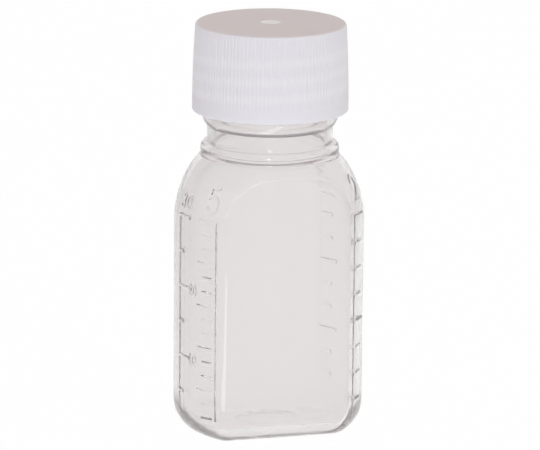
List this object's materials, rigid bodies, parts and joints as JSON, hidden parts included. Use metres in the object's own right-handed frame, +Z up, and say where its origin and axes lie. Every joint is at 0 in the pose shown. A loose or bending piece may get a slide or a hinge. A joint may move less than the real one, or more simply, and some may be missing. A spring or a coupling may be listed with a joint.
{
  "type": "specimen jar",
  "caption": "Clear moulded plastic bottle with round sides, two flat arched panels, raised graduations and a translucent ribbed screw cap that unscrews from its neck.",
  "frame": {"origin": "middle of the standing face, on the axis of the neck", "axes": "+Z up along the neck's axis, towards the cap; -Y out of the front label panel; +X towards the round side on the right as the front is looked at"},
  "size_m": [0.0362, 0.0294, 0.0788],
  "materials": {
    "clear_body": "clear, gloss moulded",
    "cap": "translucent white, satin moulded",
    "liner": "soft white foam sheet"
  },
  "bodies": {
    "bottle_body": {"bottle": "clear_body"},
    "lining_disc": {"cap_liner": "liner"},
    "cap_body": {"screw_cap": "cap"}
  },
  "joints": [
    {"name": "cap_lift", "type": "slide", "parent": "bottle_body", "child": "lining_disc", "axis": [0, 0, 1], "range_m": [0, 0.0165]},
    {"name": "cap_turn", "type": "hinge", "parent": "lining_disc", "child": "cap_body", "pos_m": [0, 0, 0.077], "axis": [0, 0, 1], "range_deg": [0, 1800]}
  ],
  "couplings": [
    {"joint": "cap_lift", "follows": "cap_turn", "m_per_rad": 0.00052521}
  ]
}
